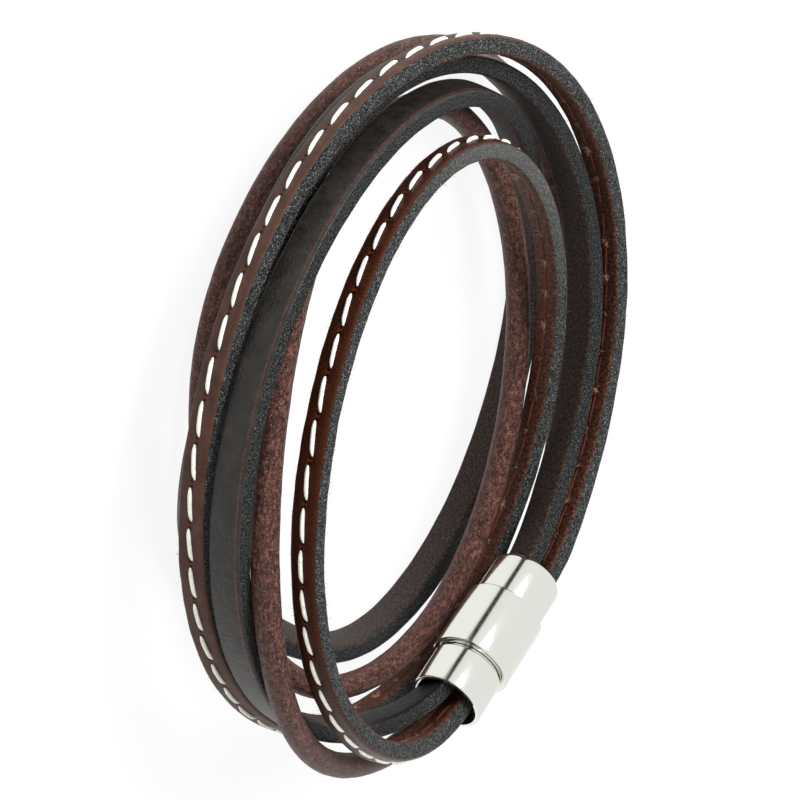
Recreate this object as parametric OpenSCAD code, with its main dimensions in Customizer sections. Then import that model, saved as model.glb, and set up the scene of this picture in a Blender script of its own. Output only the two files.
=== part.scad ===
// Leather wrap bracelet
// Three leather strands, a stitched strap, a plain flat strap and a round cord, leave one end of a
// steel clasp, go round the wrist twice and come back into its other end.
// The bracelet lies on its side on a floor at height 0, and +Z runs through the wrist hole.
// Each strand is a table with a row every 45 degrees. A smooth curve runs close by the rows.

/* [Stitched strap] */
// Width of the stitched strap, from front edge to back edge
stitched_w = 3; // [2.6:0.1:3]
// Thickness of the stitched strap
stitched_t = 2; // [1.6:0.1:2]

/* [Flat strap] */
// Width of the plain flat strap
flat_w = 4; // [3.4:0.1:4]
// Thickness of the plain flat strap
flat_t = 2; // [1.6:0.1:2]

/* [Round cord] */
// Diameter of the round cord
cord_d = 2.6; // [2:0.1:2.6]

/* [Clasp] */
// Angle round the bracelet at which the clasp sits
clasp_angle = 54; // [53:0.5:55]
// Distance from the middle of the wrist hole to the clasp's axis
clasp_reach = 28.8; // [28.6:0.1:29.2]
// Height of the clasp's middle above the floor
clasp_height = 13.5; // [13.3:0.1:13.8]
// Slope of the clasp along its axis, in degrees
clasp_slope = -2; // [-3:0.5:-1]
// Outer diameter of the barrel
barrel_d = 8.6; // [8.4:0.1:8.7]
// Length of the barrel
barrel_l = 7.9; // [7.7:0.1:8.1]
// Outer diameter of the collar, the cap at the end where the strands start
collar_d = 7.6; // [7.5:0.1:7.8]
// Visible length of the collar
collar_l = 5.1; // [5:0.1:5.2]
// Outer diameter of the plug, the cap at the end where the strands come back
plug_d = 7.7; // [7.6:0.1:7.8]
// Visible length of the plug
plug_l = 5.1; // [5:0.1:5.2]
// Diameter of the sockets that the strands are glued into
socket_d = 6.8; // [6.8:0.05:6.9]

/* [Hidden] */
$fn = 96;

// Middle of the wrist hole, measured from the middle of the bracelet's outline
wrist_middle = [4, 0.15];

// Rows of a strand: [angle, radius, height, lean]. The angle runs on through both turns, radius and
// height place the strand's middle line, and lean tips the strap's front edge inwards.
stitched_rows = [
    [90, 33.5, 13, 10],
    [135, 39.75, 11, 10],
    [180, 41.5, 10, 0],
    [225, 39.5, 8.75, -20],
    [270, 36, 9, -10],
    [315, 33, 8.75, 10],
    [360, 29, 8.5, 10],
    [405, 31.5, 7.5, 15],
    [450, 30.25, 7.75, 20],
    [495, 29.5, 9.5, 10],
    [540, 30.5, 11.75, 10],
    [585, 32, 15.5, -15],
    [630, 30.5, 18.5, 0],
    [675, 29, 19, -5],
    [720, 29.75, 18.25, 20]
];
flat_rows = [
    [90, 31.75, 11, 25],
    [135, 37.25, 9.25, 10],
    [180, 39.25, 6.75, 10],
    [225, 37.25, 6.75, -10],
    [270, 31.25, 8, -10],
    [315, 24, 0, -40],
    [360, 20.25, 4.25, -45],
    [405, 27.75, 2.5, 20],
    [450, 32.75, 1.75, 10],
    [495, 36.5, 2.5, 20],
    [540, 35, 8, 10],
    [585, 36.25, 12, -10],
    [630, 36, 13, -10],
    [675, 33.5, 13, -5],
    [720, 28.5, 11.75, -10]
];
cord_rows = [
    [90, 35, 9, 0],
    [135, 41.5, 3.5, 0],
    [180, 40.5, 1.75, 0],
    [225, 32.25, 1, 0],
    [270, 25.75, 1, 0],
    [315, 23, 5.75, 0],
    [360, 26.25, 7, 0],
    [405, 27.5, 8, 0],
    [450, 26.75, 7, 0],
    [495, 30.5, 4.5, 0],
    [540, 34, 3.75, 0],
    [585, 33.5, 8.25, 0],
    [630, 32, 14.5, 0],
    [675, 33.25, 17.5, 0],
    [720, 32.5, 13.75, 0]
];

// Where each strand sits in its socket: [outwards from the axis, upwards from it, lean]
stitched_in_collar = [0.1, 1.5, 20];
stitched_in_plug = [0.45, 1.15, 30];
flat_in_collar = [-1.75, -0.4, 25];
flat_in_plug = [-1.5, -0.85, 30];
cord_in_collar = [1.5, -1.15, 0];
cord_in_plug = [1.35, -1.5, 0];
// Angles of the three rows in and just outside each socket, from the clasp's middle
collar_steps = [1, 12, 23];
plug_steps = [-21, -10, 1];

// Full turn of the numbering between the collar's end and the plug's end
two_turns = 720;
// Rings from one row of a strand to the next
rings_per_row = 7;
// Radius of a strap's rounded corners, and the angles of the points on each
corner_r = 0.35;
corner_angles = [0, 45, 90];
// Sides of the round cord
cord_sides = 10;
// The ends are pared to this share of their size, over this many rings, to go into the sockets
pared_share = 0.9;
pared_rings = 8;

// Depth of the sockets, measured from the rims
collar_depth = 3.6;
plug_depth = 4.4;
// Bore of the barrel, and the caps' spigots that sit in it with a little play
barrel_bore = 7.1;
play = 0.1;
spigot_d = barrel_bore - 2 * play;
spigot_l = 2;
// Groove on the plug beside the barrel
groove_w = 0.4;
// Rounding of the barrel's and the plug's outer edges, and of the collar's end
rim_r = 0.25;
collar_rim_r = 0.9;
// A hole is cut this much further than the face that it opens at
past_face = 1;

clasp_l = collar_l + barrel_l + plug_l;
collar_seam = clasp_l / 2 - collar_l;
plug_seam = -clasp_l / 2 + plug_l;

// A row inside a socket, or just outside it, with the angle measured from the clasp's middle
function seat_row(seat, step, turn) =
    let(
        reach = clasp_reach + seat[0],
        along = reach * tan(step),
        height = clasp_height + seat[1] + along * tan(clasp_slope)
    )
    [clasp_angle + step + turn, reach / cos(step), height, seat[2]];

function all_rows(rows, in_collar, in_plug) = concat(
    [for (step = collar_steps) seat_row(in_collar, step, 0)],
    rows,
    [for (step = plug_steps) seat_row(in_plug, step, two_turns)]
);

// Weights of four neighbouring rows in a smooth curve, f of the way from the second to the third
function weights(f) = [
    pow(1 - f, 3) / 6,
    (3 * pow(f, 3) - 6 * pow(f, 2) + 4) / 6,
    (-3 * pow(f, 3) + 3 * pow(f, 2) + 3 * f + 1) / 6,
    pow(f, 3) / 6
];
function row_at(rows, place) =
    let(first = min(floor(place), len(rows) - 4), w = weights(place - first))
    w[0] * rows[first] + w[1] * rows[first + 1] + w[2] * rows[first + 2] + w[3] * rows[first + 3];

function outward(row) = [cos(row[0]), sin(row[0]), 0];
function middle_of(row) = row[1] * outward(row) + [wrist_middle[0], wrist_middle[1], row[2]];
function unit(v) = v / norm(v);

// Share of its full size that a strand has, so many rings from its nearer end
function pared(rings_in) = min(1, pared_share + (1 - pared_share) * rings_in / pared_rings);

// One ring of a strand: its section set square to the path, tipped by the lean. Leather that would
// reach below the floor is pressed flat on it.
function ring(section, row, ahead) =
    let(
        out = unit(outward(row) - (outward(row) * ahead) * ahead),
        front = cross(out, ahead),
        across = cos(row[3]) * out + sin(row[3]) * front,
        upright = cos(row[3]) * front - sin(row[3]) * out
    )
    [for (p = section)
        let(q = middle_of(row) + p[0] * across + p[1] * upright)
        [q[0], q[1], max(q[2], 0)]
    ];

function strap_section(width, thickness) = [
    for (side = [[1, 1, 0], [-1, 1, 90], [-1, -1, 180], [1, -1, 270]])
        for (a = corner_angles) [
            side[0] * (thickness / 2 - corner_r) + corner_r * cos(a + side[2]),
            side[1] * (width / 2 - corner_r) + corner_r * sin(a + side[2])
        ]
];
function cord_section(diameter) = [
    for (i = [0:cord_sides - 1])
        diameter / 2 * [cos(360 * i / cord_sides), sin(360 * i / cord_sides)]
];

// A solid swept along the path, with a flat cap at each end
module strand(rows, section) {
    last = (len(rows) - 3) * rings_per_row;
    size = len(section);
    path = [for (i = [0:last]) row_at(rows, i / rings_per_row)];
    points = [for (i = [0:last])
        let(ahead = unit(middle_of(path[min(i + 1, last)]) - middle_of(path[max(i - 1, 0)])))
        each ring(section * pared(min(i, last - i)), path[i], ahead)
    ];
    sides = [for (i = [0:last - 1], j = [0:size - 1])
        let(a = i * size + j, b = i * size + (j + 1) % size)
        each [[a, b, a + size], [b, b + size, a + size]]
    ];
    start_cap = [for (j = [size - 1:-1:0]) j];
    end_cap = [for (j = [0:size - 1]) last * size + j];
    polyhedron(points = points, faces = concat([start_cap], sides, [end_cap]), convexity = 10);
}

module stitched_strap() {
    color("#5f4640")
        strand(all_rows(stitched_rows, stitched_in_collar, stitched_in_plug),
            strap_section(stitched_w, stitched_t));
}

module flat_strap() {
    color("#3a3430")
        strand(all_rows(flat_rows, flat_in_collar, flat_in_plug), strap_section(flat_w, flat_t));
}

module round_cord() {
    color("#6b3a2e")
        strand(all_rows(cord_rows, cord_in_collar, cord_in_plug), cord_section(cord_d));
}

// Puts a shape that stands on the clasp's axis where the clasp is, with the collar's end upwards
module on_clasp() {
    translate([wrist_middle[0], wrist_middle[1], clasp_height])
        rotate([0, 0, clasp_angle])
            translate([clasp_reach, 0, 0])
                rotate([clasp_slope - 90, 0, 0])
                    children();
}

// A round bar about the clasp's axis, with its two outer edges rounded
module bar(bottom, top, diameter, bottom_r, top_r) {
    rotate_extrude()
        difference() {
            translate([0, bottom])
                square([diameter / 2, top - bottom]);
            translate([diameter / 2 - top_r, top - top_r])
                outside_of_corner(top_r);
            translate([diameter / 2 - bottom_r, bottom + bottom_r])
                mirror([0, 1])
                    outside_of_corner(bottom_r);
        }
}

module outside_of_corner(r) {
    difference() {
        square(2 * r);
        circle(r = r);
    }
}

module clasp_collar() {
    color("#d9dad4")
        on_clasp()
            difference() {
                union() {
                    bar(collar_seam, clasp_l / 2, collar_d, play, collar_rim_r);
                    translate([0, 0, collar_seam - spigot_l])
                        cylinder(d = spigot_d, h = spigot_l + play);
                }
                translate([0, 0, clasp_l / 2 - collar_depth])
                    cylinder(d = socket_d, h = collar_depth + past_face);
            }
}

module clasp_barrel() {
    color("#d9dad4")
        on_clasp()
            difference() {
                bar(plug_seam, collar_seam - play, barrel_d, rim_r, rim_r);
                translate([0, 0, plug_seam - past_face])
                    cylinder(d = barrel_bore, h = barrel_l + 2 * past_face);
            }
}

module clasp_plug() {
    color("#d9dad4")
        on_clasp()
            difference() {
                union() {
                    bar(-clasp_l / 2, plug_seam - groove_w, plug_d, rim_r, rim_r);
                    translate([0, 0, plug_seam - 2 * groove_w])
                        cylinder(d = spigot_d, h = spigot_l + 2 * groove_w);
                }
                translate([0, 0, -clasp_l / 2 - past_face])
                    cylinder(d = socket_d, h = plug_depth + past_face);
            }
}

stitched_strap();
flat_strap();
round_cord();
clasp_collar();
clasp_barrel();
clasp_plug();
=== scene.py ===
"""Leather wrap bracelet: two leather straps and a round leather cord, wound twice round the wrist
and joined by a cylindrical steel clasp. It lies on its side on a pale floor."""

import math

import bpy
import numpy as np
from bpy.props import FloatProperty, FloatVectorProperty, IntProperty, PointerProperty
from mathutils import Matrix, Vector


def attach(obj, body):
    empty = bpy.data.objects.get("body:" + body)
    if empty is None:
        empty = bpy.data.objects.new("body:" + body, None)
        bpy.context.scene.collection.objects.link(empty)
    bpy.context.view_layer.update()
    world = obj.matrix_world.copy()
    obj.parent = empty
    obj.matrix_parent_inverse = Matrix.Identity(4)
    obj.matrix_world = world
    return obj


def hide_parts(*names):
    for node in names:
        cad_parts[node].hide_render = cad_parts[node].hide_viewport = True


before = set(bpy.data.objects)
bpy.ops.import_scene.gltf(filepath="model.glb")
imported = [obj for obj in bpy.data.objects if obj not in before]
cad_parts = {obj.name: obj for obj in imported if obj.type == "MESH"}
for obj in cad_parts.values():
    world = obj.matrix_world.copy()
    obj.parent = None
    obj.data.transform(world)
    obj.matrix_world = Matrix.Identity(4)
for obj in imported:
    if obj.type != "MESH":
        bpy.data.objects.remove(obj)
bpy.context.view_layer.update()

bl_info = {
    "name": "Leather wrap bracelet",
    "version": (1, 0, 0),
    "blender": (4, 5, 0),
    "location": "3D View > Sidebar > Bracelet",
    "description": "Builds a leather wrap bracelet with stitching and a steel clasp",
    "category": "Object",
}

MM = 0.001

# Middle of the wrist hole, in mm from the middle of the bracelet's outline
WRIST_MIDDLE = (4.0, 0.15)

# Rows of a strand: angle in degrees, running on through both turns, then the radius and height of
# its middle line in mm, and the lean in degrees that tips its front edge inwards
STITCHED_ROWS = [
    (90, 33.5, 13, 10),
    (135, 39.75, 11, 10),
    (180, 41.5, 10, 0),
    (225, 39.5, 8.75, -20),
    (270, 36, 9, -10),
    (315, 33, 8.75, 10),
    (360, 29, 8.5, 10),
    (405, 31.5, 7.5, 15),
    (450, 30.25, 7.75, 20),
    (495, 29.5, 9.5, 10),
    (540, 30.5, 11.75, 10),
    (585, 32, 15.5, -15),
    (630, 30.5, 18.5, 0),
    (675, 29, 19, -5),
    (720, 29.75, 18.25, 20),
]
FLAT_ROWS = [
    (90, 31.75, 11, 25),
    (135, 37.25, 9.25, 10),
    (180, 39.25, 6.75, 10),
    (225, 37.25, 6.75, -10),
    (270, 31.25, 8, -10),
    (315, 24, 0, -40),
    (360, 20.25, 4.25, -45),
    (405, 27.75, 2.5, 20),
    (450, 32.75, 1.75, 10),
    (495, 36.5, 2.5, 20),
    (540, 35, 8, 10),
    (585, 36.25, 12, -10),
    (630, 36, 13, -10),
    (675, 33.5, 13, -5),
    (720, 28.5, 11.75, -10),
]
CORD_ROWS = [
    (90, 35, 9, 0),
    (135, 41.5, 3.5, 0),
    (180, 40.5, 1.75, 0),
    (225, 32.25, 1, 0),
    (270, 25.75, 1, 0),
    (315, 23, 5.75, 0),
    (360, 26.25, 7, 0),
    (405, 27.5, 8, 0),
    (450, 26.75, 7, 0),
    (495, 30.5, 4.5, 0),
    (540, 34, 3.75, 0),
    (585, 33.5, 8.25, 0),
    (630, 32, 14.5, 0),
    (675, 33.25, 17.5, 0),
    (720, 32.5, 13.75, 0),
]
# Where each strand sits in the collar and in the plug: outwards from the clasp's axis and upwards
# from it in mm, and the lean in degrees
SEATS = {
    "stitched": ((0.1, 1.5, 20), (0.45, 1.15, 30)),
    "flat": ((-1.75, -0.4, 25), (-1.5, -0.85, 30)),
    "cord": ((1.5, -1.15, 0), (1.35, -1.5, 0)),
}
# Angles of the rows at the collar and at the plug, from the clasp's middle
COLLAR_STEPS = (1, 12, 23)
PLUG_STEPS = (-21, -10, 1)
TWO_TURNS = 720

# The ends are pared to this share of their size over this part of a row's length
PARED_SHARE = 0.9
PARED_ROWS = 8 / 7
# Steps of the curve from one row to the next
STEPS_PER_ROW = 60

# Widths of the patterns in mm. Leather's fibres and pores and the marks of the polishing wheel are
# finer in life, and are drawn this coarse so that they show
GRAIN_PATCH = 2
GRAIN_PORE = 1 / 6
GRAIN_CREASE = 1 / 4
GRAIN_SPECK = 1 / 9
EDGE_FIBRE = 1 / 5
EDGE_FIBRE_END = 1 / 7
NAP_TUFT = 1 / 3
NAP_PIT = 2 / 7
DARK_PATCH = 10 / 7
DARK_PEBBLE = 2 / 7
DARK_CREASE = 5 / 13
WORN_LINE_SPOT = 1 / 4
CORD_BLOTCH = 10 / 23
CORD_RUB = 1 / 6
CORD_PORE = 1 / 5
THREAD_PLY = 5 / 11
THREAD_WAX = 2 / 5
WHEEL_MARK = 2 / 5
TORN_FIBRE_PATCH = 10 / 9
# Creases run across a strap, so their pattern is drawn out four times that way
CREASE_STRETCH = (1, 0.25, 0.25)


def linear(colour):
    """An sRGB hex colour as linear red, green, blue and alpha."""
    parts = [int(colour[i : i + 2], 16) / 255 for i in (1, 3, 5)]
    return (*(p / 12.92 if p <= 0.04045 else ((p + 0.055) / 1.055) ** 2.4 for p in parts), 1.0)


def swatch(name, description, colour):
    """A colour that the panel shows as a swatch, from its sRGB hex value."""
    return FloatVectorProperty(
        name=name, description=description, subtype="COLOR", size=4, min=0, max=1, default=linear(colour)
    )


def measure(name, description, size):
    """A length that a user would change, given in mm."""
    return FloatProperty(name=name, description=description, default=size * MM, unit="LENGTH")


class StrandSizes(bpy.types.PropertyGroup):
    stitched_width: measure("Stitched strap width", "Width of the stitched strap", 3)
    stitched_thickness: measure("Stitched strap thickness", "Thickness of the stitched strap", 2)
    flat_width: measure("Flat strap width", "Width of the plain strap", 4)
    flat_thickness: measure("Flat strap thickness", "Thickness of the plain strap", 2)
    cord_diameter: measure("Cord diameter", "Diameter of the round cord", 2.6)
    corner_radius: measure("Corner radius", "Rounding of the straps' corners", 0.35)


class StitchSizes(bpy.types.PropertyGroup):
    count: IntProperty(name="Stitches", description="Stitches on the whole strap", default=97)
    gap: measure("Gap", "Leather left between two stitches", 0.62)
    width: measure("Thread width", "Width of the outer thread", 0.45)
    slant: FloatProperty(
        name="Slant",
        description="Angle of a stitch across the strap",
        default=math.radians(5),
        subtype="ANGLE",
    )


class ClaspSizes(bpy.types.PropertyGroup):
    angle: FloatProperty(
        name="Place", description="Angle round the bracelet", default=math.radians(54), subtype="ANGLE"
    )
    slope: FloatProperty(
        name="Slope", description="Tilt along the clasp's axis", default=math.radians(-2), subtype="ANGLE"
    )
    reach: measure("Reach", "Distance of the axis from the wrist's middle", 28.8)
    height: measure("Height", "Height of the clasp's middle", 13.5)
    barrel_diameter: measure("Barrel diameter", "Outer diameter of the barrel", 8.6)
    barrel_length: measure("Barrel length", "Length of the barrel", 7.9)
    collar_diameter: measure("Collar diameter", "Outer diameter of the collar", 7.6)
    collar_length: measure("Collar length", "Visible length of the collar", 5.1)
    plug_diameter: measure("Plug diameter", "Outer diameter of the plug", 7.7)
    plug_length: measure("Plug length", "Visible length of the plug", 5.1)
    socket_diameter: measure("Socket diameter", "Bore that the strands are glued into", 6.8)


class Colours(bpy.types.PropertyGroup):
    # The first turn's swatch is the brown leather with painted sheen over it, a painted reflection of the
    # white surround; the second turn's is the same leather without it
    first_turn: swatch("First turn", "Stitched strap's outer face on its first turn", "#3f2a23")
    second_turn: swatch("Second turn", "Stitched strap's outer face on its second turn", "#2a130b")
    brown_flesh: swatch("Brown flesh side", "Inner face of the stitched strap", "#3f261d")
    grey_edge: swatch("Grey cut edge", "Cut edges of the stitched strap", "#222323")
    dark_grain: swatch("Dark grain", "Dye of the flat strap's outer face", "#211e1b")
    dark_flesh: swatch("Dark flesh side", "Inner face of the flat strap", "#2b2421")
    black_edge: swatch("Black cut edge", "Cut edges of the flat strap", "#1c1d1d")
    round_cord: swatch("Round cord", "Middle tone of the mottled cord", "#452b25")
    outer_thread: swatch("Outer thread", "Thread of the running stitch", "#e8e6dd")
    inner_thread: swatch("Inner thread", "Thread that shows on the inner face", "#54261a")
    steel: swatch("Steel", "Colour of the polished clasp", "#e7e8e1")


class StageLights(bpy.types.PropertyGroup):
    top_power: FloatProperty(
        name="Top light", description="Power of the large light above", default=7.0, unit="POWER"
    )
    near_power: FloatProperty(
        name="Near light", description="Power of the small light close by", default=0.12, unit="POWER"
    )
    surround: FloatProperty(name="Surround", description="Strength of the white surround", default=0.93)
    glow: FloatProperty(name="Glow", description="Light that comes up through the floor", default=0.9)


def deselect_all():
    """Leaves edit mode and selects nothing, so that the next operator acts on its own piece alone."""
    if bpy.context.object and bpy.context.object.mode != "OBJECT":
        bpy.ops.object.mode_set(mode="OBJECT")
    bpy.ops.object.select_all(action="DESELECT")


def fresh(name):
    """Names the primitive that was just added."""
    piece = bpy.context.object
    piece.name = piece.data.name = name
    return piece


def points_of(piece):
    """The piece's points, a row of x, y and z for each."""
    points = np.empty(len(piece.data.vertices) * 3)
    piece.data.vertices.foreach_get("co", points)
    return points.reshape(-1, 3)


def move_points(piece, points):
    """Puts the piece's points at new places."""
    piece.data.vertices.foreach_set("co", np.ascontiguousarray(points).ravel())
    piece.data.update()


def apply_modifier(piece, kind, **settings):
    """Adds a modifier with its settings and applies it at once."""
    modifier = piece.modifiers.new(kind.title(), kind)
    for key, value in settings.items():
        setattr(modifier, key, value)
    bpy.ops.object.modifier_apply(modifier=modifier.name)


def cut_lengthwise(piece, cuts):
    """Divides the edges that run along X, so that the piece can bend."""
    bpy.ops.object.mode_set(mode="OBJECT")
    bpy.context.tool_settings.mesh_select_mode = (False, True, False)
    x = points_of(piece)[:, 0]
    for part in (piece.data.vertices, piece.data.polygons):
        part.foreach_set("select", np.zeros(len(part), bool))
    ends = np.empty(len(piece.data.edges) * 2, int)
    piece.data.edges.foreach_get("vertices", ends)
    ends = ends.reshape(-1, 2)
    piece.data.edges.foreach_set("select", np.abs(x[ends[:, 0]] - x[ends[:, 1]]) > 1e-6)
    bpy.ops.object.mode_set(mode="EDIT")
    bpy.ops.mesh.subdivide(number_cuts=cuts)
    bpy.ops.object.mode_set(mode="OBJECT")


def route(rows, seats):
    """The path of a strand as a smooth curve close by its rows, with its directions at each step."""
    clasp = bpy.context.scene.bracelet_clasp

    def seat_row(seat, step, turn):
        reach = clasp.reach / MM + seat[0]
        along = reach * math.tan(math.radians(step))
        height = clasp.height / MM + seat[1] + along * math.tan(clasp.slope)
        angle = math.degrees(clasp.angle) + step + turn
        return (angle, reach / math.cos(math.radians(step)), height, seat[2])

    table = [seat_row(seats[0], step, 0) for step in COLLAR_STEPS]
    table += rows
    table += [seat_row(seats[1], step, TWO_TURNS) for step in PLUG_STEPS]
    table = np.array(table, float)
    last = len(table) - 3
    place = np.linspace(0, last, last * STEPS_PER_ROW + 1)
    first = np.minimum(place.astype(int), last - 1)
    # A uniform cubic spline: each step is a mean of the four rows about it, with these weights
    f = (place - first)[:, None]
    row = (
        (1 - f) ** 3 / 6 * table[first]
        + (3 * f**3 - 6 * f**2 + 4) / 6 * table[first + 1]
        + (-3 * f**3 + 3 * f**2 + 3 * f + 1) / 6 * table[first + 2]
        + f**3 / 6 * table[first + 3]
    )
    angle, lean = np.radians(row[:, 0]), np.radians(row[:, 3:4])
    outward = np.stack([np.cos(angle), np.sin(angle), 0 * angle], 1)
    middle = (row[:, 1:2] * outward + np.stack([0 * angle, 0 * angle, row[:, 2]], 1)) * MM
    middle[:, :2] += np.array(WRIST_MIDDLE) * MM
    ahead = np.gradient(middle, axis=0)
    ahead /= np.linalg.norm(ahead, axis=1, keepdims=True)
    out = outward - (outward * ahead).sum(1, keepdims=True) * ahead
    out /= np.linalg.norm(out, axis=1, keepdims=True)
    front = np.cross(out, ahead)
    steps = np.linalg.norm(np.diff(middle, axis=0), axis=1)
    end_rows = np.minimum(place, last - place)
    return {
        "along": np.concatenate([[0], np.cumsum(steps)]),
        "middle": middle,
        "across": np.cos(lean) * out + np.sin(lean) * front,
        "upright": np.cos(lean) * front - np.sin(lean) * out,
        "share": np.minimum(1, PARED_SHARE + (1 - PARED_SHARE) * end_rows / PARED_ROWS)[:, None],
    }


def lay(piece, path):
    """Lays a piece modelled straight along its path. It was modelled with X along the strand, the
    outer face towards -Y and the front edge towards +Z, and keeps those places as an attribute.
    Leather that would go under the floor is pressed flat on it."""
    straight = points_of(piece)
    kept = piece.data.attributes.new("straight", "FLOAT_VECTOR", "POINT")
    kept.data.foreach_set("vector", (straight / MM).ravel())
    at = {}
    for key in ("middle", "across", "upright", "share"):
        columns = [np.interp(straight[:, 0], path["along"], column) for column in path[key].T]
        at[key] = np.stack(columns, 1)
    section = at["upright"] * straight[:, 2:3] - at["across"] * straight[:, 1:2]
    points = at["middle"] + at["share"] * section
    points[:, 2] = np.maximum(points[:, 2], 0)
    move_points(piece, points)


def settle(piece, slot, *nodes):
    """The finished piece rides on the bracelet and stands for the plain solids of the same part."""
    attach(piece, "root")
    if nodes:
        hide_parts(*nodes)


def straight_strap(name, length, width, thickness, parts):
    """A straight strip of leather: a sheet cut to width, given its thickness and its soft corners. It
    has this many parts along it, so that it can bend."""
    deselect_all()
    bpy.ops.mesh.primitive_grid_add(
        x_subdivisions=parts,
        y_subdivisions=8,
        size=1,
        location=(length / 2, 0, 0),
        rotation=(math.pi / 2, 0, 0),
    )
    strap = fresh(name)
    strap.scale = (length, width, 1)
    bpy.ops.object.transform_apply(location=True, rotation=True, scale=True)
    apply_modifier(strap, "SOLIDIFY", thickness=thickness, offset=0)
    corner = bpy.context.scene.bracelet_strands.corner_radius
    sharp = math.radians(40)
    apply_modifier(strap, "BEVEL", width=corner, segments=3, limit_method="ANGLE", angle_limit=sharp)
    bpy.ops.object.shade_smooth()
    return strap


def three_sides(strap, outer, inner, edge):
    """Gives the straight strap its outer face, inner face and cut edges as separate materials."""
    for material in (outer, inner, edge):
        strap.data.materials.append(material)
    across = np.array([face.normal.y for face in strap.data.polygons])
    facing = 0.6
    side = np.where(across < -facing, 0, np.where(across > facing, 1, 2))
    strap.data.polygons.foreach_set("material_index", side.astype(np.int32))


def ripple(x, seed):
    """A slow wander between about -1 and 1 along the strand, for hand-cut leather. It is the sum of
    waves of these lengths in mm."""
    chance = np.random.default_rng(seed)
    total = 0 * x
    for wave in (31.0, 17.0, 8.3, 4.1):
        total = total + np.sin(2 * np.pi * (x / wave + chance.random())) / 2.4
    return total


def add_node(tree, kind, inputs=None, ramp=None, **settings):
    """Adds a node with its settings, its colour stops, and its inputs as values or links."""
    node = tree.nodes.new("ShaderNode" + kind)
    for key, value in settings.items():
        setattr(node, key, value)
    if ramp:
        while len(node.color_ramp.elements) < len(ramp):
            node.color_ramp.elements.new(0.5)
        for element, (position, colour) in zip(node.color_ramp.elements, ramp):
            element.position = position
            element.color = colour
    for key, value in (inputs or {}).items():
        if isinstance(value, bpy.types.NodeSocket):
            tree.links.new(value, node.inputs[key])
        else:
            node.inputs[key].default_value = value
    return node


def new_material(name):
    """A fresh material with its node tree and its shader."""
    material = bpy.data.materials.new(name)
    material.use_nodes = True
    tree = material.node_tree
    return material, tree, tree.nodes["Principled BSDF"]


def shades(colour, places, *strengths):
    """Stops of a colour ramp: the colour made darker or lighter at each place."""
    return [
        (place, (*(min(part * strength, 1) for part in colour[:3]), 1))
        for place, strength in zip(places, strengths)
    ]


def strand_places(tree):
    """The place on the straight strand in mm: as a vector, along it, and towards the front edge."""
    place = add_node(tree, "Attribute", attribute_name="straight").outputs["Vector"]
    parts = add_node(tree, "SeparateXYZ", {0: place}).outputs
    return place, parts[0], parts[2]


def speckle(tree, place, width, start, full, amount):
    """Small scattered spots of a width in mm: how strongly each place is inside one, up to the amount
    given. They are larger and closer together, the lower the noise at which they start."""
    spots = {"Vector": place, "Scale": 1 / width, "Detail": 3, "Roughness": 0.65}
    noise = add_node(tree, "TexNoise", spots)
    fade = {"Value": noise.outputs["Fac"], "From Min": start, "From Max": full, "To Max": amount}
    return add_node(tree, "MapRange", fade).outputs[0]


def layered(tree, base, *layers):
    """Lays colours over the base one after another, each by its share."""
    for share, colour in layers:
        base = add_node(tree, "Mix", {0: share, 6: base, 7: colour}, data_type="RGBA").outputs[2]
    return base


def dress(tree, shader, base, height, strength, depth):
    """Joins a material's colour and its relief, of a depth in mm, to the shader."""
    tree.links.new(base, shader.inputs["Base Color"])
    relief = add_node(tree, "Bump", {"Height": height, "Strength": strength, "Distance": depth * MM})
    tree.links.new(relief.outputs[0], shader.inputs["Normal"])


def stitch_pitch():
    """Distance from one stitch to the next, which share out the whole strap."""
    return bpy.context.scene["stitched_length"] / bpy.context.scene.bracelet_stitches.count


def stitch_marks(tree, along, forwards):
    """Where the needle holes at both ends of each stitch are, and the bridge between two of them."""
    pitch = stitch_pitch() / MM
    turn = add_node(tree, "Math", {0: along, 1: pitch / 2, 2: -pitch / 2}, operation="WRAP")
    distance = add_node(tree, "Math", {0: turn.outputs[0]}, operation="ABSOLUTE").outputs[0]
    gap = bpy.context.scene.bracelet_stitches.gap / MM
    off_hole = add_node(tree, "Math", {0: distance, 1: gap / 2}, operation="SUBTRACT").outputs[0]
    marks = []
    # Each mark is full up to its first radius in mm and fades out at its second
    for sideways, inner, outer in ((off_hole, 0.14, 0.3), (distance, 0.22, 0.36)):
        spot = add_node(tree, "CombineXYZ", {0: sideways, 1: forwards})
        far = add_node(tree, "VectorMath", {0: spot.outputs[0]}, operation="LENGTH").outputs[1]
        fading = {"Value": far, "From Min": inner, "From Max": outer, "To Min": 1, "To Max": 0}
        marks.append(add_node(tree, "MapRange", fading).outputs[0])
    return marks


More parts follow.
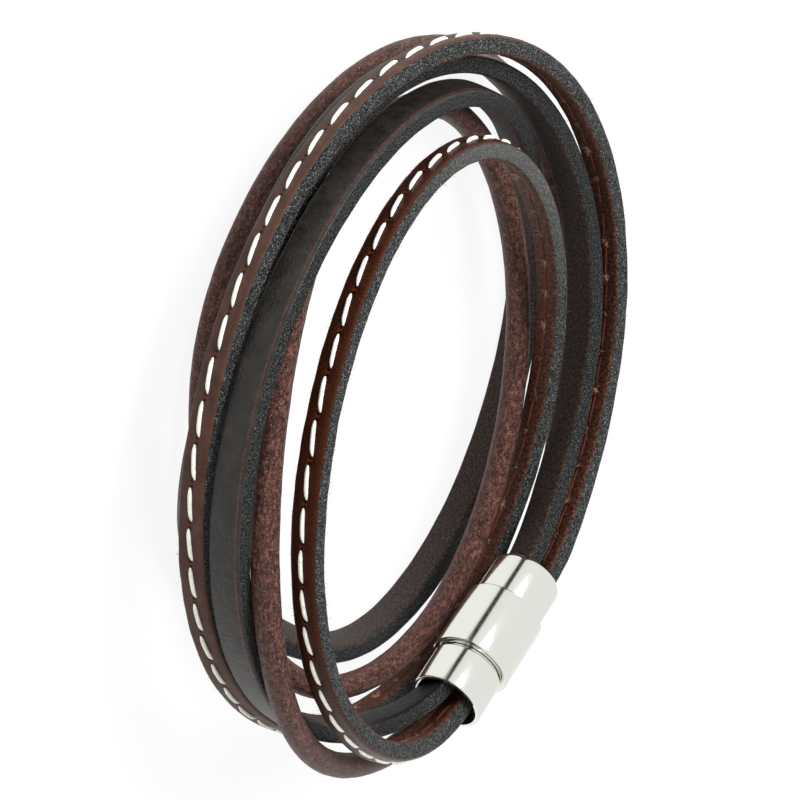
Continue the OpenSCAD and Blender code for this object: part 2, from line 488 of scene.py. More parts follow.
def grain_leather():
    """Smooth finished cowhide, aniline dyed. On the first turn its uneven mauve-brown is the brown dye
    with painted sheen over it, a painted reflection of the white surround, on a satin finish, and it
    turns oranger in patches towards the front edge. The second turn is the same leather, a deep glossy
    brown without the painted sheen. Fine orange specks are strewn over both, and the needle holes are
    darkened with painted shade."""
    colours = bpy.context.scene.bracelet_colours
    material, tree, shader = new_material("Brown grain leather")
    place, along, forwards = strand_places(tree)
    patches = add_node(
        tree, "TexNoise", {"Vector": place, "Scale": 1 / GRAIN_PATCH, "Detail": 6, "Roughness": 0.65}
    )
    grain = add_node(
        tree, "TexNoise", {"Vector": place, "Scale": 1 / GRAIN_PORE, "Detail": 4, "Roughness": 0.65}
    )
    # The first turn's ramp is the brown dye with painted sheen over it, a painted reflection of the white
    # surround
    dye_and_painted_sheen = shades(colours.first_turn, (0.3, 0.5, 0.72), 0.55, 1, 1.6)
    light = add_node(tree, "ValToRGB", {0: patches.outputs["Fac"]}, ramp=dye_and_painted_sheen).outputs[0]
    second_dye = shades(colours.second_turn, (0.3, 0.55, 0.75), 0.4, 1, 2.6)
    deep = add_node(tree, "ValToRGB", {0: grain.outputs["Fac"]}, ramp=second_dye).outputs[0]
    # Over this stretch in mm the first turn's painted sheen gives way to the second turn's plain deep
    # brown
    turn_start, turn_full = 215, 265
    later = {"Value": along, "From Min": turn_start, "From Max": turn_full, "To Min": 0, "To Max": 1}
    second = add_node(tree, "MapRange", later).outputs[0]
    by_edge = {"Value": forwards, "From Min": 0.4, "From Max": 1.5, "To Min": 0, "To Max": 0.5}
    towards_edge = add_node(tree, "MapRange", by_edge).outputs[0]
    tone_share = add_node(tree, "Math", {0: towards_edge, 1: patches.outputs["Fac"]}, operation="MULTIPLY")
    hole, bridge = stitch_marks(tree, along, forwards)
    base = layered(
        tree,
        light,
        (second, deep),
        (tone_share.outputs[0], linear("#4a2416")),
        (speckle(tree, place, GRAIN_SPECK, 0.64, 0.72, 0.7), linear("#8a4a2c")),
        (bridge, linear("#57200f")),
        # Painted shade: each needle hole is darkened near-black, standing in for the shade inside it
        (hole, linear("#0c0605")),
    )
    satin = add_node(tree, "MapRange", {"Value": second, "To Min": 0.5, "To Max": 0.34})
    tree.links.new(satin.outputs[0], shader.inputs["Roughness"])
    tint = layered(tree, linear("#f4e4dc"), (second, linear("#c88a68")))
    tree.links.new(tint, shader.inputs["Specular Tint"])
    creased = add_node(tree, "Mapping", {"Vector": place, "Scale": CREASE_STRETCH}).outputs[0]
    creases = add_node(
        tree, "TexNoise", {"Vector": creased, "Scale": 1 / GRAIN_CREASE, "Detail": 4, "Roughness": 0.6}
    )
    both = {0: creases.outputs["Fac"], 1: grain.outputs["Fac"]}
    relief = add_node(tree, "Math", both, operation="ADD")
    sunk = add_node(tree, "Math", {0: relief.outputs[0], 1: hole}, operation="SUBTRACT")
    dress(tree, shader, base, sunk.outputs[0], 0.45, depth=0.1)
    shader.inputs["Specular IOR Level"].default_value = 0.25
    return material


def cut_edge(name, colour, fibre, lit_stretch=(0, 1)):
    """The raw cut side of a strap: dyed bare fibres, dry and rough, with pale fibre ends in it. Over the
    stretch given, in mm along the strap, it is paler with painted light where the edge faces the light;
    without a stretch given, the painted light falls on its hidden start."""
    material, tree, shader = new_material(name)
    place, along, _ = strand_places(tree)
    wool = add_node(
        tree, "TexNoise", {"Vector": place, "Scale": 1 / EDGE_FIBRE, "Detail": 3, "Roughness": 0.8}
    )
    dye = shades(colour, (0.4, 0.5, 0.6), 0.2, 1, 3)
    base = add_node(tree, "ValToRGB", {0: wool.outputs["Fac"]}, ramp=dye).outputs[0]
    # Painted light: over the stretch given, the edge is mixed paler towards the fibre colour, where it
    # runs along the top and faces the light
    middle, half = sum(lit_stretch) / 2, (lit_stretch[1] - lit_stretch[0]) / 2
    off_middle = add_node(tree, "Math", {0: along, 1: middle}, operation="SUBTRACT").outputs[0]
    distance = add_node(tree, "Math", {0: off_middle}, operation="ABSOLUTE").outputs[0]
    fading = {"Value": distance, "From Min": half / 3, "From Max": half, "To Min": 0.13, "To Max": 0}
    tone_share = add_node(tree, "MapRange", fading).outputs[0]
    fibre_ends = speckle(tree, place, EDGE_FIBRE_END, 0.57, 0.66, 0.75)
    base = layered(tree, base, (tone_share, fibre), (fibre_ends, fibre))
    dress(tree, shader, base, wool.outputs["Fac"], 0.9, depth=0.4)
    shader.inputs["Roughness"].default_value = 0.7
    shader.inputs["Specular IOR Level"].default_value = 0.15
    return material


def flesh_side(name, colour, blackened_from):
    """The inner face of a strap: split leather with a short nap and small pits, almost matt. From that
    many mm on, towards its end, it is black and smoother, with a dim gloss."""
    material, tree, shader = new_material(name)
    place, along, _ = strand_places(tree)
    nap = add_node(
        tree, "TexNoise", {"Vector": place, "Scale": 1 / NAP_TUFT, "Detail": 5, "Roughness": 0.75}
    )
    dye = shades(colour, (0.4, 0.5, 0.6), 0.35, 1, 2.2)
    base = add_node(tree, "ValToRGB", {0: nap.outputs["Fac"]}, ramp=dye).outputs[0]
    blackened_full = blackened_from + 8
    near_end = {"Value": along, "From Min": blackened_from, "From Max": blackened_full, "To Max": 0.97}
    blackened = add_node(tree, "MapRange", near_end).outputs[0]
    pits = speckle(tree, place, NAP_PIT, 0.57, 0.66, 0.8)
    base = layered(tree, base, (pits, linear("#0e0705")), (blackened, linear("#080707")))
    dress(tree, shader, base, nap.outputs["Fac"], 0.6, depth=0.3)
    gloss = add_node(tree, "MapRange", {"Value": blackened, "To Min": 0.6, "To Max": 0.38})
    tree.links.new(gloss.outputs[0], shader.inputs["Roughness"])
    tint = layered(tree, linear("#e6c4b4"), (blackened, linear("#927b71")))
    tree.links.new(tint, shader.inputs["Specular Tint"])
    shader.inputs["Specular IOR Level"].default_value = 0.25
    return material


def dark_grain_leather():
    """Smooth finished cowhide dyed almost black, with a fine pebble grain, a little brown showing
    through, and a thin red-brown line along the front edge where the dye is rubbed through."""
    material, tree, shader = new_material("Dark grain leather")
    place, _, forwards = strand_places(tree)
    patches = add_node(
        tree, "TexNoise", {"Vector": place, "Scale": 1 / DARK_PATCH, "Detail": 7, "Roughness": 0.7}
    )
    dye = shades(bpy.context.scene.bracelet_colours.dark_grain, (0.34, 0.5, 0.68), 0.5, 1, 1.7)
    base = add_node(tree, "ValToRGB", {0: patches.outputs["Fac"]}, ramp=dye).outputs[0]
    line_place = 1.55
    off_line = add_node(tree, "Math", {0: forwards, 1: line_place}, operation="SUBTRACT").outputs[0]
    distance = add_node(tree, "Math", {0: off_line}, operation="ABSOLUTE").outputs[0]
    fading = {"Value": distance, "From Min": 0.04, "From Max": 0.2, "To Min": 1, "To Max": 0}
    line = add_node(tree, "MapRange", fading).outputs[0]
    tone_share = speckle(tree, place, WORN_LINE_SPOT, 0.4, 0.6, 0.9)
    broken = add_node(tree, "Math", {0: line, 1: tone_share}, operation="MULTIPLY")
    base = layered(tree, base, (broken.outputs[0], linear("#58302a")))
    cells = {"Vector": place, "Scale": 1 / DARK_PEBBLE}
    pebbles = add_node(tree, "TexVoronoi", cells, feature="SMOOTH_F1").outputs[0]
    crossed = add_node(tree, "Mapping", {"Vector": place, "Scale": CREASE_STRETCH}).outputs[0]
    creases = add_node(
        tree, "TexNoise", {"Vector": crossed, "Scale": 1 / DARK_CREASE, "Detail": 5, "Roughness": 0.65}
    )
    relief = add_node(tree, "Math", {0: creases.outputs["Fac"], 1: pebbles}, operation="SUBTRACT")
    dress(tree, shader, base, relief.outputs[0], 0.35, depth=0.16)
    shader.inputs["Roughness"].default_value = 0.42
    shader.inputs["Specular IOR Level"].default_value = 0.32
    return material


def mottled_leather():
    """Round leather cord, dyed and then rubbed, so it is finely mottled: dark in its pores and rubbed
    to a pale brown on its high places, with a waxed half-gloss."""
    material, tree, shader = new_material("Mottled round leather")
    place, _, _ = strand_places(tree)
    drawn = add_node(tree, "Mapping", {"Vector": place, "Scale": (0.6, 1, 1)}).outputs[0]
    blotch = add_node(
        tree, "TexNoise", {"Vector": drawn, "Scale": 1 / CORD_BLOTCH, "Detail": 5, "Roughness": 0.85}
    )
    middle_tone = bpy.context.scene.bracelet_colours.round_cord
    dye = shades(middle_tone, (0.38, 0.47, 0.54, 0.63), 0.12, 0.7, 1.3, 2.8)
    base = add_node(tree, "ValToRGB", {0: blotch.outputs["Fac"]}, ramp=dye).outputs[0]
    rubbed = speckle(tree, drawn, CORD_RUB, 0.58, 0.67, 0.6)
    pores = speckle(tree, place, CORD_PORE, 0.55, 0.61, 0.95)
    base = layered(tree, base, (rubbed, linear("#95695a")), (pores, linear("#0e0606")))
    fine = add_node(
        tree, "TexNoise", {"Vector": place, "Scale": 1 / CORD_PORE, "Detail": 3, "Roughness": 0.7}
    )
    height = add_node(tree, "Math", {0: blotch.outputs["Fac"], 1: fine.outputs["Fac"]}, operation="ADD")
    dress(tree, shader, base, height.outputs[0], 0.8, depth=0.2)
    shader.inputs["Roughness"].default_value = 0.42
    shader.inputs["Specular IOR Level"].default_value = 0.4
    shader.inputs["Specular Tint"].default_value = linear("#f0d4cc")
    return material


def waxed_thread(name, colour):
    """Waxed polyester thread: tight plies that hardly show through the wax, with a faint gloss."""
    material, tree, shader = new_material(name)
    place, _, _ = strand_places(tree)
    twist = (0, math.radians(35), 0)
    twisted = add_node(tree, "Mapping", {"Vector": place, "Rotation": twist}).outputs[0]
    strands = {"Vector": twisted, "Scale": 1 / THREAD_PLY, "Distortion": 3, "Detail": 3}
    plies = add_node(tree, "TexWave", strands)
    smears = {"Vector": place, "Scale": 1 / THREAD_WAX, "Detail": 3, "Roughness": 0.6}
    wax = add_node(tree, "TexNoise", smears)
    dye = shades(colour, (0.35, 0.6), 0.8, 1)
    base = add_node(tree, "ValToRGB", {0: wax.outputs["Fac"]}, ramp=dye).outputs[0]
    layers = {0: plies.outputs["Fac"], 1: 0.2, 2: wax.outputs["Fac"]}
    height = add_node(tree, "Math", layers, operation="MULTIPLY_ADD")
    dress(tree, shader, base, height.outputs[0], 0.6, depth=0.1)
    shader.inputs["Roughness"].default_value = 0.6
    shader.inputs["Specular IOR Level"].default_value = 0.2
    return material


def polished_steel():
    """Turned stainless steel, polished: a soft mirror with a faint trace of the polishing wheel."""
    material, tree, shader = new_material("Polished stainless steel")
    place = add_node(tree, "TexCoord").outputs["Object"]
    traces = {"Vector": place, "Scale": 1 / (WHEEL_MARK * MM), "Detail": 2, "Roughness": 0.5}
    marks = add_node(tree, "TexNoise", traces).outputs["Fac"]
    rubbed = {"Value": marks, "From Min": 0.3, "From Max": 0.7, "To Min": 0.12, "To Max": 0.16}
    roughness = add_node(tree, "MapRange", rubbed).outputs[0]
    tree.links.new(roughness, shader.inputs["Roughness"])
    shader.inputs["Base Color"].default_value = bpy.context.scene.bracelet_colours.steel
    shader.inputs["Metallic"].default_value = 1
    return material


def bare_fibre(name, colour):
    """Torn leather fibres: dry and matt, some paler and some darker."""
    material, tree, shader = new_material(name)
    place = add_node(tree, "TexCoord").outputs["Object"]
    varied = add_node(
        tree, "TexNoise", {"Vector": place, "Scale": 1 / (TORN_FIBRE_PATCH * MM), "Detail": 2}
    )
    dye = shades(linear(colour), (0.35, 0.65), 0.7, 1.3)
    base = add_node(tree, "ValToRGB", {0: varied.outputs["Fac"]}, ramp=dye).outputs[0]
    tree.links.new(base, shader.inputs["Base Color"])
    shader.inputs["Roughness"].default_value = 0.8
    return material


class BRACELET_OT_stitched_strap(bpy.types.Operator):
    """Makes the stitched strap, from the collar twice round the wrist to the plug"""

    bl_idname = "bracelet.stitched_strap"
    bl_label = "Stitched strap"

    def execute(self, context):
        sizes, stitches = context.scene.bracelet_strands, context.scene.bracelet_stitches
        path = route(STITCHED_ROWS, SEATS["stitched"])
        length = path["along"][-1]
        context.scene["stitched_length"] = length
        width, thickness = sizes.stitched_width, sizes.stitched_thickness
        parts = stitches.count * 8
        strap = straight_strap("stitched_strap_leather", length, width, thickness, parts)
        colours = context.scene.bracelet_colours
        three_sides(
            strap,
            grain_leather(),
            flesh_side("Brown flesh side", colours.brown_flesh, length / MM),
            # Painted light on the edge of the second turn, where it runs along the top
            cut_edge("Grey cut edge", colours.grey_edge, linear("#9c9c98"), lit_stretch=(256, 310)),
        )
        points = points_of(strap)
        x, y, z = points.T / MM
        half = width / MM / 2
        # The thread pulls the leather in along its line, most of all at the needle holes, and the
        # faces fall away a little towards the edges
        pitch = length / MM / stitches.count
        pulled_width, pull_depth, edge_fall = 0.42, 0.12, 0.1
        pull = np.exp(-((z / pulled_width) ** 2)) * (0.35 + 0.65 * np.cos(np.pi * x / pitch) ** 4)
        soft = np.abs(z / half) ** 3
        inwards = -np.sign(y) * (pull_depth * pull + edge_fall * soft)
        points[:, 1] += inwards * MM
        # The knife wandered along both edges
        uneven = 0.035 * ripple(x, 3) + 0.02 * ripple(2.3 * x + 5 * y, 4)
        at_edge = np.abs(z) > 0.8 * half
        points[:, 2] += uneven * np.sign(z) * at_edge * MM
        move_points(strap, points)
        lay(strap, path)
        settle(strap, "brown_leather", "stitched_strap")
        return {"FINISHED"}


def row_of_stitches(name, length, width, thick, dip, slant, surface, material, path):
    """One stitch modelled and copied at each step of the strap. It is this long, wide and thick, its
    middle is this far from the strap's middle, and its ends dip this far into the leather."""
    stitches = bpy.context.scene.bracelet_stitches
    pitch = stitch_pitch()
    deselect_all()
    bpy.ops.mesh.primitive_cylinder_add(vertices=10, radius=0.5, depth=1, rotation=(0, math.pi / 2, 0))
    stitch = fresh(name)
    bpy.ops.object.transform_apply(location=False, rotation=True, scale=False)
    cut_lengthwise(stitch, 11)
    points = points_of(stitch)
    t = points[:, 0] * 2
    # It narrows towards both ends, where it goes down into the needle holes
    taper = 1 - 0.8 * np.clip((np.abs(t) - 0.45) / 0.55, 0, 1) ** 1.7
    points[:, 0] = points[:, 0] * length + pitch / 2
    points[:, 1] = points[:, 1] * thick * taper + surface + np.sign(-surface) * dip * t**4
    points[:, 2] = points[:, 2] * width * taper + t / 2 * length * math.tan(slant) + 0.2 * width * t**5
    move_points(stitch, points)
    apply_modifier(
        stitch,
        "ARRAY",
        count=stitches.count,
        use_relative_offset=False,
        use_constant_offset=True,
        constant_offset_displace=(pitch, 0, 0),
    )
    bpy.ops.object.shade_smooth_by_angle(angle=math.radians(50))
    points = points_of(stitch)
    # No two stitches are quite alike: they vary by about this much, in metres and as a slope
    sideways, tilt, lift = 0.00004, 0.02, 0.00002
    chance = np.random.default_rng(7)
    each = np.repeat(chance.normal(0, 1, (stitches.count, 3)), len(points) // stitches.count, axis=0)
    middle = (np.floor(points[:, 0] / pitch) + 0.5) * pitch
    points[:, 2] += each[:, 0] * sideways + (points[:, 0] - middle) * each[:, 1] * tilt
    points[:, 1] += each[:, 2] * lift
    move_points(stitch, points)
    stitch.data.materials.append(material)
    lay(stitch, path)
    settle(stitch, "brown_leather")
    return stitch


class BRACELET_OT_stitching(bpy.types.Operator):
    """Sews the running stitch on the outer face and the thread that locks it on the inner face"""

    bl_idname = "bracelet.stitching"
    bl_label = "Stitching"

    def execute(self, context):
        sizes, stitches = context.scene.bracelet_strands, context.scene.bracelet_stitches
        path = route(STITCHED_ROWS, SEATS["stitched"])
        colours = context.scene.bracelet_colours
        half = sizes.stitched_thickness / 2
        pitch = stitch_pitch()
        row_of_stitches(
            "running_stitch",
            length=pitch - stitches.gap + 0.0003,
            width=stitches.width,
            thick=0.00042,
            dip=0.00035,
            slant=stitches.slant,
            surface=-half - 0.00004,
            material=waxed_thread("Off-white waxed thread", colours.outer_thread),
            path=path,
        )
        row_of_stitches(
            "inner_thread",
            length=pitch + 0.0001,
            width=0.00032,
            thick=0.0003,
            dip=0.0003,
            slant=stitches.slant / 2,
            surface=half - 0.00006,
            material=waxed_thread("Red-brown waxed thread", colours.inner_thread),
            path=path,
        )
        return {"FINISHED"}


class BRACELET_OT_flat_strap(bpy.types.Operator):
    """Makes the plain strap, from the collar twice round the wrist to the plug"""

    bl_idname = "bracelet.flat_strap"
    bl_label = "Flat strap"

    def execute(self, context):
        sizes = context.scene.bracelet_strands
        path = route(FLAT_ROWS, SEATS["flat"])
        length = path["along"][-1]
        width, thickness = sizes.flat_width, sizes.flat_thickness
        strap = straight_strap("flat_strap_leather", length, width, thickness, parts=720)
        colours = context.scene.bracelet_colours
        blackened_length = 24
        three_sides(
            strap,
            dark_grain_leather(),
            flesh_side("Dark flesh side", colours.dark_flesh, length / MM - blackened_length),
            cut_edge("Black cut edge", colours.black_edge, linear("#7c7d7c")),
        )
        points = points_of(strap)
        x, y, z = points.T / MM
        half = width / MM / 2
        edge_fall, wander = 0.12, 0.03
        points[:, 1] -= np.sign(y) * edge_fall * np.abs(z / half) ** 4 * MM
        at_edge = np.abs(z) > 0.8 * half
        points[:, 2] += wander * ripple(x, 11) * np.sign(z) * at_edge * MM
        move_points(strap, points)
        lay(strap, path)
        settle(strap, "dark_leather", "flat_strap")
        return {"FINISHED"}


class BRACELET_OT_round_cord(bpy.types.Operator):
    """Makes the round cord, from the collar twice round the wrist to the plug"""

    bl_idname = "bracelet.round_cord"
    bl_label = "Round cord"

    def execute(self, context):
        sizes = context.scene.bracelet_strands
        path = route(CORD_ROWS, SEATS["cord"])
        length = path["along"][-1]
        deselect_all()
        bpy.ops.mesh.primitive_cylinder_add(
            vertices=24,
            radius=sizes.cord_diameter / 2,
            depth=length,
            location=(length / 2, 0, 0),
            rotation=(0, math.pi / 2, 0),
        )
        cord = fresh("round_cord_leather")
        bpy.ops.object.transform_apply(location=True, rotation=True, scale=True)
        # Two cuts in a row, of 28 parts each, make 784 parts
        cut_lengthwise(cord, 27)
        cut_lengthwise(cord, 27)
        bpy.ops.object.shade_smooth_by_angle(angle=math.radians(50))
        points = points_of(cord)
        x, y, z = points.T / MM
        turn = np.arctan2(z, y)
        slow, quick = ripple(x + 2 * np.cos(turn), 21), ripple(3 * x + 4 * np.sin(turn), 22)
        uneven = 0.012 * slow + 0.01 * quick
        # It is a little thicker, and a little lower, where it lies close beside the flat strap
        beside_middle, beside_reach, swelling, drop = 328, 11, 0.12, 0.16
        close_by = np.exp(-(((x - beside_middle) / beside_reach) ** 2))
        points[:, 1:] *= (0.988 + swelling * close_by - uneven)[:, None]
        points[:, 2] -= drop * MM * close_by
        move_points(cord, points)
        cord.data.materials.append(mottled_leather())
        lay(cord, path)
        settle(cord, "red_brown_leather", "round_cord")
        return {"FINISHED"}


def turned(name, profile, closed, material):
    """A piece turned on a lathe: a ring drawn out through the profile's steps of radius and height."""
    deselect_all()
    (radius, height), rest = profile[0], profile[1:]
    bpy.ops.mesh.primitive_circle_add(
        vertices=128, radius=radius, fill_type="NOTHING", location=(0, 0, height)
    )
    piece = fresh(name)
    bpy.ops.object.transform_apply(location=True, rotation=False, scale=False)
    bpy.ops.object.mode_set(mode="EDIT")
    bpy.ops.mesh.select_all(action="SELECT")
    for next_radius, next_height in rest:
        bpy.ops.mesh.extrude_region_move(TRANSFORM_OT_translate={"value": (0, 0, next_height - height)})
        share = next_radius / radius
        bpy.ops.transform.resize(value=(share, share, 1), center_override=(0, 0, next_height))
        radius, height = next_radius, next_height
    bpy.ops.mesh.select_all(action="SELECT")
    if closed:
        bpy.ops.mesh.remove_doubles(threshold=1e-6)
    else:
        bpy.ops.mesh.fill_holes(sides=0)
    bpy.ops.mesh.normals_make_consistent(inside=False)
    bpy.ops.object.mode_set(mode="OBJECT")
    bpy.ops.object.shade_smooth_by_angle(angle=math.radians(35))
    clasp = bpy.context.scene.bracelet_clasp
    piece.data.transform(
        Matrix.Translation((WRIST_MIDDLE[0] * MM, WRIST_MIDDLE[1] * MM, clasp.height))
        @ Matrix.Rotation(clasp.angle, 4, "Z")
        @ Matrix.Translation((clasp.reach, 0, 0))
        @ Matrix.Rotation(clasp.slope - math.pi / 2, 4, "X")
    )
    piece.data.materials.append(material)
    return piece


def rounding(radius, middle_radius, middle_height, start, end, parts=6):
    """Steps of a rounded edge in a profile, by the angle from outwards to upwards in degrees."""
    return [
        (middle_radius + radius * math.cos(a), middle_height + radius * math.sin(a))
        for a in np.radians(np.linspace(start, end, parts + 1))
    ]


class BRACELET_OT_clasp(bpy.types.Operator):
    """Turns the clasp's collar, barrel and plug"""

    bl_idname = "bracelet.clasp"
    bl_label = "Clasp"

    def execute(self, context):
        clasp = context.scene.bracelet_clasp
        steel = polished_steel()
        whole = clasp.collar_length + clasp.barrel_length + clasp.plug_length
        top, seam, groove = whole / 2, whole / 2 - clasp.collar_length, -whole / 2 + clasp.plug_length
        play, bore, spigot, spigot_length = 0.0001, 0.0071, 0.0069, 0.002
        rim, soft_rim, groove_width = 0.00025, 0.0009, 0.0004
        collar_depth, plug_depth = 0.0036, 0.0044
        socket, collar = clasp.socket_diameter / 2, clasp.collar_diameter / 2
        barrel, plug = clasp.barrel_diameter / 2, clasp.plug_diameter / 2
        lip = math.degrees(math.acos((socket - collar + soft_rim) / soft_rim))
        pieces = {
            "clasp_collar": (
                [(socket, top - collar_depth)]
                + rounding(soft_rim, collar - soft_rim, top - soft_rim, lip, 0, 10)
                + rounding(play, collar - play, seam + play, 0, -90, 3)
                + [(spigot / 2, seam), (spigot / 2, seam - spigot_length)],
                False,
            ),
            "clasp_barrel": (
                [(bore / 2, groove), (bore / 2, seam - play)]
                + rounding(rim, barrel - rim, seam - play - rim, 90, 0)
                + rounding(rim, barrel - rim, groove + rim, 0, -90)
                + [(bore / 2, groove)],
                True,
            ),
            "clasp_plug": (
                [(socket, -top + plug_depth), (socket, -top)]
                + rounding(rim, plug - rim, -top + rim, -90, 0)
                + rounding(rim, plug - rim, groove - groove_width - rim, 0, 90)
                + [(spigot / 2, groove - groove_width), (spigot / 2, groove + spigot_length)],
                False,
            ),
        }
        for node, (profile, closed) in pieces.items():
            piece = turned(node + "_steel", profile, closed, steel)
            settle(piece, "polished_steel", node)
        return {"FINISHED"}


def fibres(name, count, length, width, seed, start, end, place, material, path):
    """Loose fibre ends: one thin fibre modelled and copied, each copy at a place and in a direction
    that place() draws, and bent its own way. They stay between start and end along the strap."""
    deselect_all()
    bpy.ops.mesh.primitive_cylinder_add(
        vertices=3, radius=0.5, depth=1, location=(0.5, 0, 0), rotation=(0, math.pi / 2, 0)
    )
    piece = fresh(name)
    bpy.ops.object.transform_apply(location=True, rotation=True, scale=False)
    cut_lengthwise(piece, 2)
    apply_modifier(
        piece,
        "ARRAY",
        count=count,
        use_relative_offset=False,
        use_constant_offset=True,
        constant_offset_displace=(2, 0, 0),
    )
    bpy.ops.object.shade_smooth()
    points = points_of(piece)
    size = len(points) // count
    chance = np.random.default_rng(seed)
    t = (points[:, 0] - 2 * np.repeat(np.arange(count), size))[:, None]
    base, way = place(chance, count)
    way = way + chance.normal(0, 0.35, (count, 3))
    way /= np.linalg.norm(way, axis=1, keepdims=True)
    long = length * chance.uniform(0.35, 1.0, (count, 1))
    bend = chance.normal(0, 0.35, (count, 3)) * long
    side = np.cross(way, chance.normal(0, 1, (count, 3)))
    side /= np.linalg.norm(side, axis=1, keepdims=True)
    other = np.cross(way, side)
    each = (base, way, long, bend, side, other)
    base, way, long, bend, side, other = (np.repeat(part, size, axis=0) for part in each)
    thick = width * (1 - 0.7 * t)
    section = side * points[:, 1:2] + other * points[:, 2:3]
    points = base + way * long * t + bend * t**2 + thick * section
    points[:, 0] = np.clip(points[:, 0], start, end)
    move_points(piece, points)
    piece.data.materials.append(material)
    lay(piece, path)
    settle(piece, "brown_leather")
    return piece


class BRACELET_OT_loose_fibres(bpy.types.Operator):
    """Adds the loose fibre ends on the cut edges and round the needle holes inside"""

    bl_idname = "bracelet.loose_fibres"
    bl_label = "Loose fibres"

    def execute(self, context):
        sizes, stitches = context.scene.bracelet_strands, context.scene.bracelet_stitches
        path = route(STITCHED_ROWS, SEATS["stitched"])
        length = path["along"][-1]
        # None grow inside the clasp
        start, end = 0.006, length - 0.006

        def on_edges(chance, count):
            front = chance.choice([-1, 1], count)
            x = chance.uniform(start, end, count)
            y = chance.uniform(-0.4, 0.5, count) * sizes.stitched_thickness
            z = front * (sizes.stitched_width / 2 - 0.00005)
            return np.stack([x, y, z], 1), np.stack([0 * x, 0.3 * np.sign(y), 1.0 * front], 1)

        def at_holes(chance, count):
            # Some holes have a thick tuft and others hardly any
            torn = chance.exponential(1, stitches.count - 4)
            hole = 2 + chance.choice(stitches.count - 4, count, p=torn / torn.sum())
            x = hole * stitch_pitch() + chance.normal(0, 0.00012, count)
            z = chance.normal(0, 0.0001, count)
            y = 0 * x + sizes.stitched_thickness / 2 - 0.00012
            turn = chance.uniform(0, 2 * np.pi, count)
            return np.stack([x, y, z], 1), np.stack([np.cos(turn), 0 * x + 0.5, np.sin(turn)], 1)

        fuzz = bare_fibre("Leather fibre", "#5c5b57")
        tuft = bare_fibre("Pale leather fibre", "#b98a70")
        ends = {"start": start, "end": end, "path": path}
        short = {"count": 6000, "length": 0.00032, "width": 0.000034, "seed": 31}
        fibres("edge_fibres", place=on_edges, material=fuzz, **short, **ends)
        long = {"count": 2000, "length": 0.0007, "width": 0.000045, "seed": 32}
        fibres("hole_tufts", place=at_holes, material=tuft, **long, **ends)
        return {"FINISHED"}


def area_light(name, place, size, power):
    """A soft square light that faces the bracelet."""
    bpy.ops.object.light_add(type="AREA", location=place)
    light = bpy.context.object
    light.name = name
    light.data.shape = "SQUARE"
    light.data.size = size
    light.data.energy = power
    light.rotation_euler = (-Vector(place)).to_track_quat("-Z", "Y").to_euler()
    return light


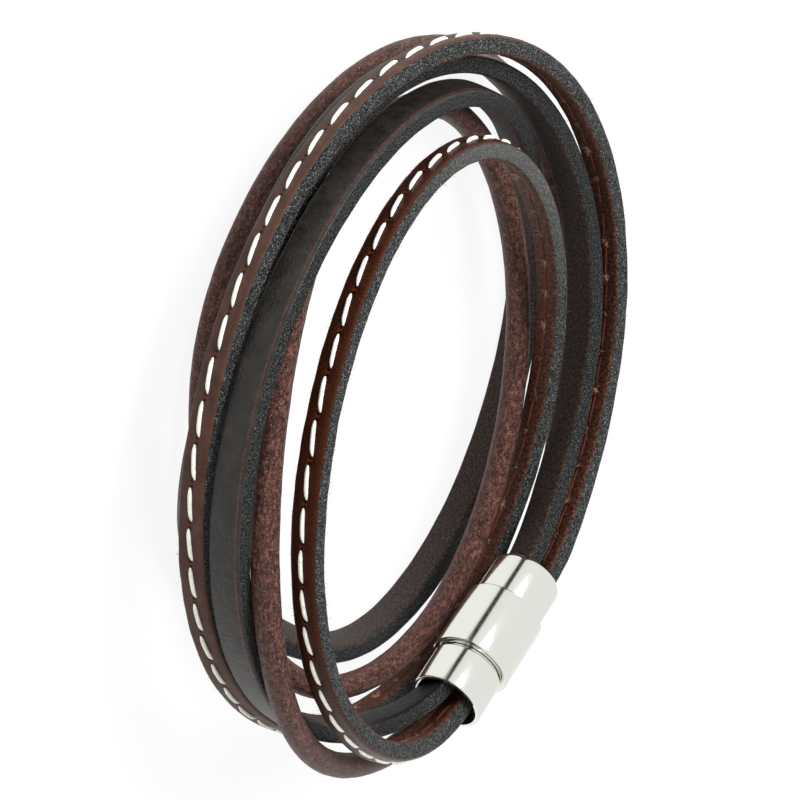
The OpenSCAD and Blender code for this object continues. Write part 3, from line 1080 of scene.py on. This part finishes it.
class BRACELET_OT_stage(bpy.types.Operator):
    """Sets up the pale floor, the soft lights and the camera"""

    bl_idname = "bracelet.stage"
    bl_label = "Stage"

    def execute(self, context):
        scene = context.scene
        deselect_all()
        bpy.ops.mesh.primitive_plane_add(size=6, location=(0, 0, -0.00002))
        floor = fresh("floor")
        # Cast acrylic lit from below gives the eye an even white with hardly any shadow
        acrylic, _, shader = new_material("White backlit acrylic")
        shader.inputs["Base Color"].default_value = linear("#4c4c4c")
        shader.inputs["Roughness"].default_value = 0.9
        shader.inputs["Specular IOR Level"].default_value = 0
        shader.inputs["Emission Color"].default_value = (1, 1, 1, 1)
        shader.inputs["Emission Strength"].default_value = scene.bracelet_stage.glow
        floor.data.materials.append(acrylic)

        world = bpy.data.worlds.new("White surround")
        world.use_nodes = True
        background = world.node_tree.nodes["Background"]
        background.inputs["Color"].default_value = (1, 1, 1, 1)
        background.inputs["Strength"].default_value = scene.bracelet_stage.surround
        scene.world = world

        top = area_light("top_light", (-0.35, -0.15, 0.6), 0.5, scene.bracelet_stage.top_power)
        top.visible_glossy = False
        area_light("near_light", (-0.12, -0.08, 0.13), 0.06, scene.bracelet_stage.near_power)

        # The camera stands at the photo's angle, rolled so that the bracelet stands on its end
        elevation, roll, distance = math.radians(29.14), math.radians(106.69), 0.6
        focus_height, aim_right, aim_up = 9.6, 0.25, 4.09
        level = Vector((1, 0, 0))
        rising = Vector((0, math.sin(elevation), math.cos(elevation)))
        back = Vector((0, -math.cos(elevation), math.sin(elevation)))
        right = math.cos(roll) * level + math.sin(roll) * rising
        up = -math.sin(roll) * level + math.cos(roll) * rising
        aim = Vector((*WRIST_MIDDLE, focus_height)) * MM + right * aim_right * MM + up * aim_up * MM
        bpy.ops.object.camera_add(location=aim + back * distance)
        camera = bpy.context.object
        camera.name = "camera"
        camera.rotation_euler = Matrix((right, up, back)).transposed().to_euler()
        camera.data.lens = 270
        camera.data.sensor_width = 36
        camera.data.clip_start = 0.01
        scene.camera = camera
        scene.view_settings.view_transform = "Standard"
        return {"FINISHED"}


class BRACELET_PT_panel(bpy.types.Panel):
    """Lists the bracelet's pieces and sizes"""

    bl_label = "Wrap bracelet"
    bl_idname = "BRACELET_PT_panel"
    bl_space_type = "VIEW_3D"
    bl_region_type = "UI"
    bl_category = "Bracelet"

    def draw(self, context):
        for group in GROUPS:
            settings = getattr(context.scene, group)
            for name in settings.bl_rna.properties.keys():
                if name not in ("rna_type", "name"):
                    self.layout.prop(settings, name)
        for operator in OPERATORS:
            self.layout.operator(operator.bl_idname)


GROUPS = {
    "bracelet_strands": StrandSizes,
    "bracelet_stitches": StitchSizes,
    "bracelet_clasp": ClaspSizes,
    "bracelet_colours": Colours,
    "bracelet_stage": StageLights,
}
OPERATORS = (
    BRACELET_OT_stage,
    BRACELET_OT_stitched_strap,
    BRACELET_OT_stitching,
    BRACELET_OT_flat_strap,
    BRACELET_OT_round_cord,
    BRACELET_OT_clasp,
    BRACELET_OT_loose_fibres,
)


def register():
    for group, kind in GROUPS.items():
        bpy.utils.register_class(kind)
        setattr(bpy.types.Scene, group, PointerProperty(type=kind))
    for kind in (*OPERATORS, BRACELET_PT_panel):
        bpy.utils.register_class(kind)


def unregister():
    for kind in (*OPERATORS, BRACELET_PT_panel):
        bpy.utils.unregister_class(kind)
    for group, kind in GROUPS.items():
        delattr(bpy.types.Scene, group)
        bpy.utils.unregister_class(kind)


def main():
    register()
    for operator in OPERATORS:
        action = operator.bl_idname.split(".")[1]
        getattr(bpy.ops.bracelet, action)()


if __name__ == "__main__":
    main()
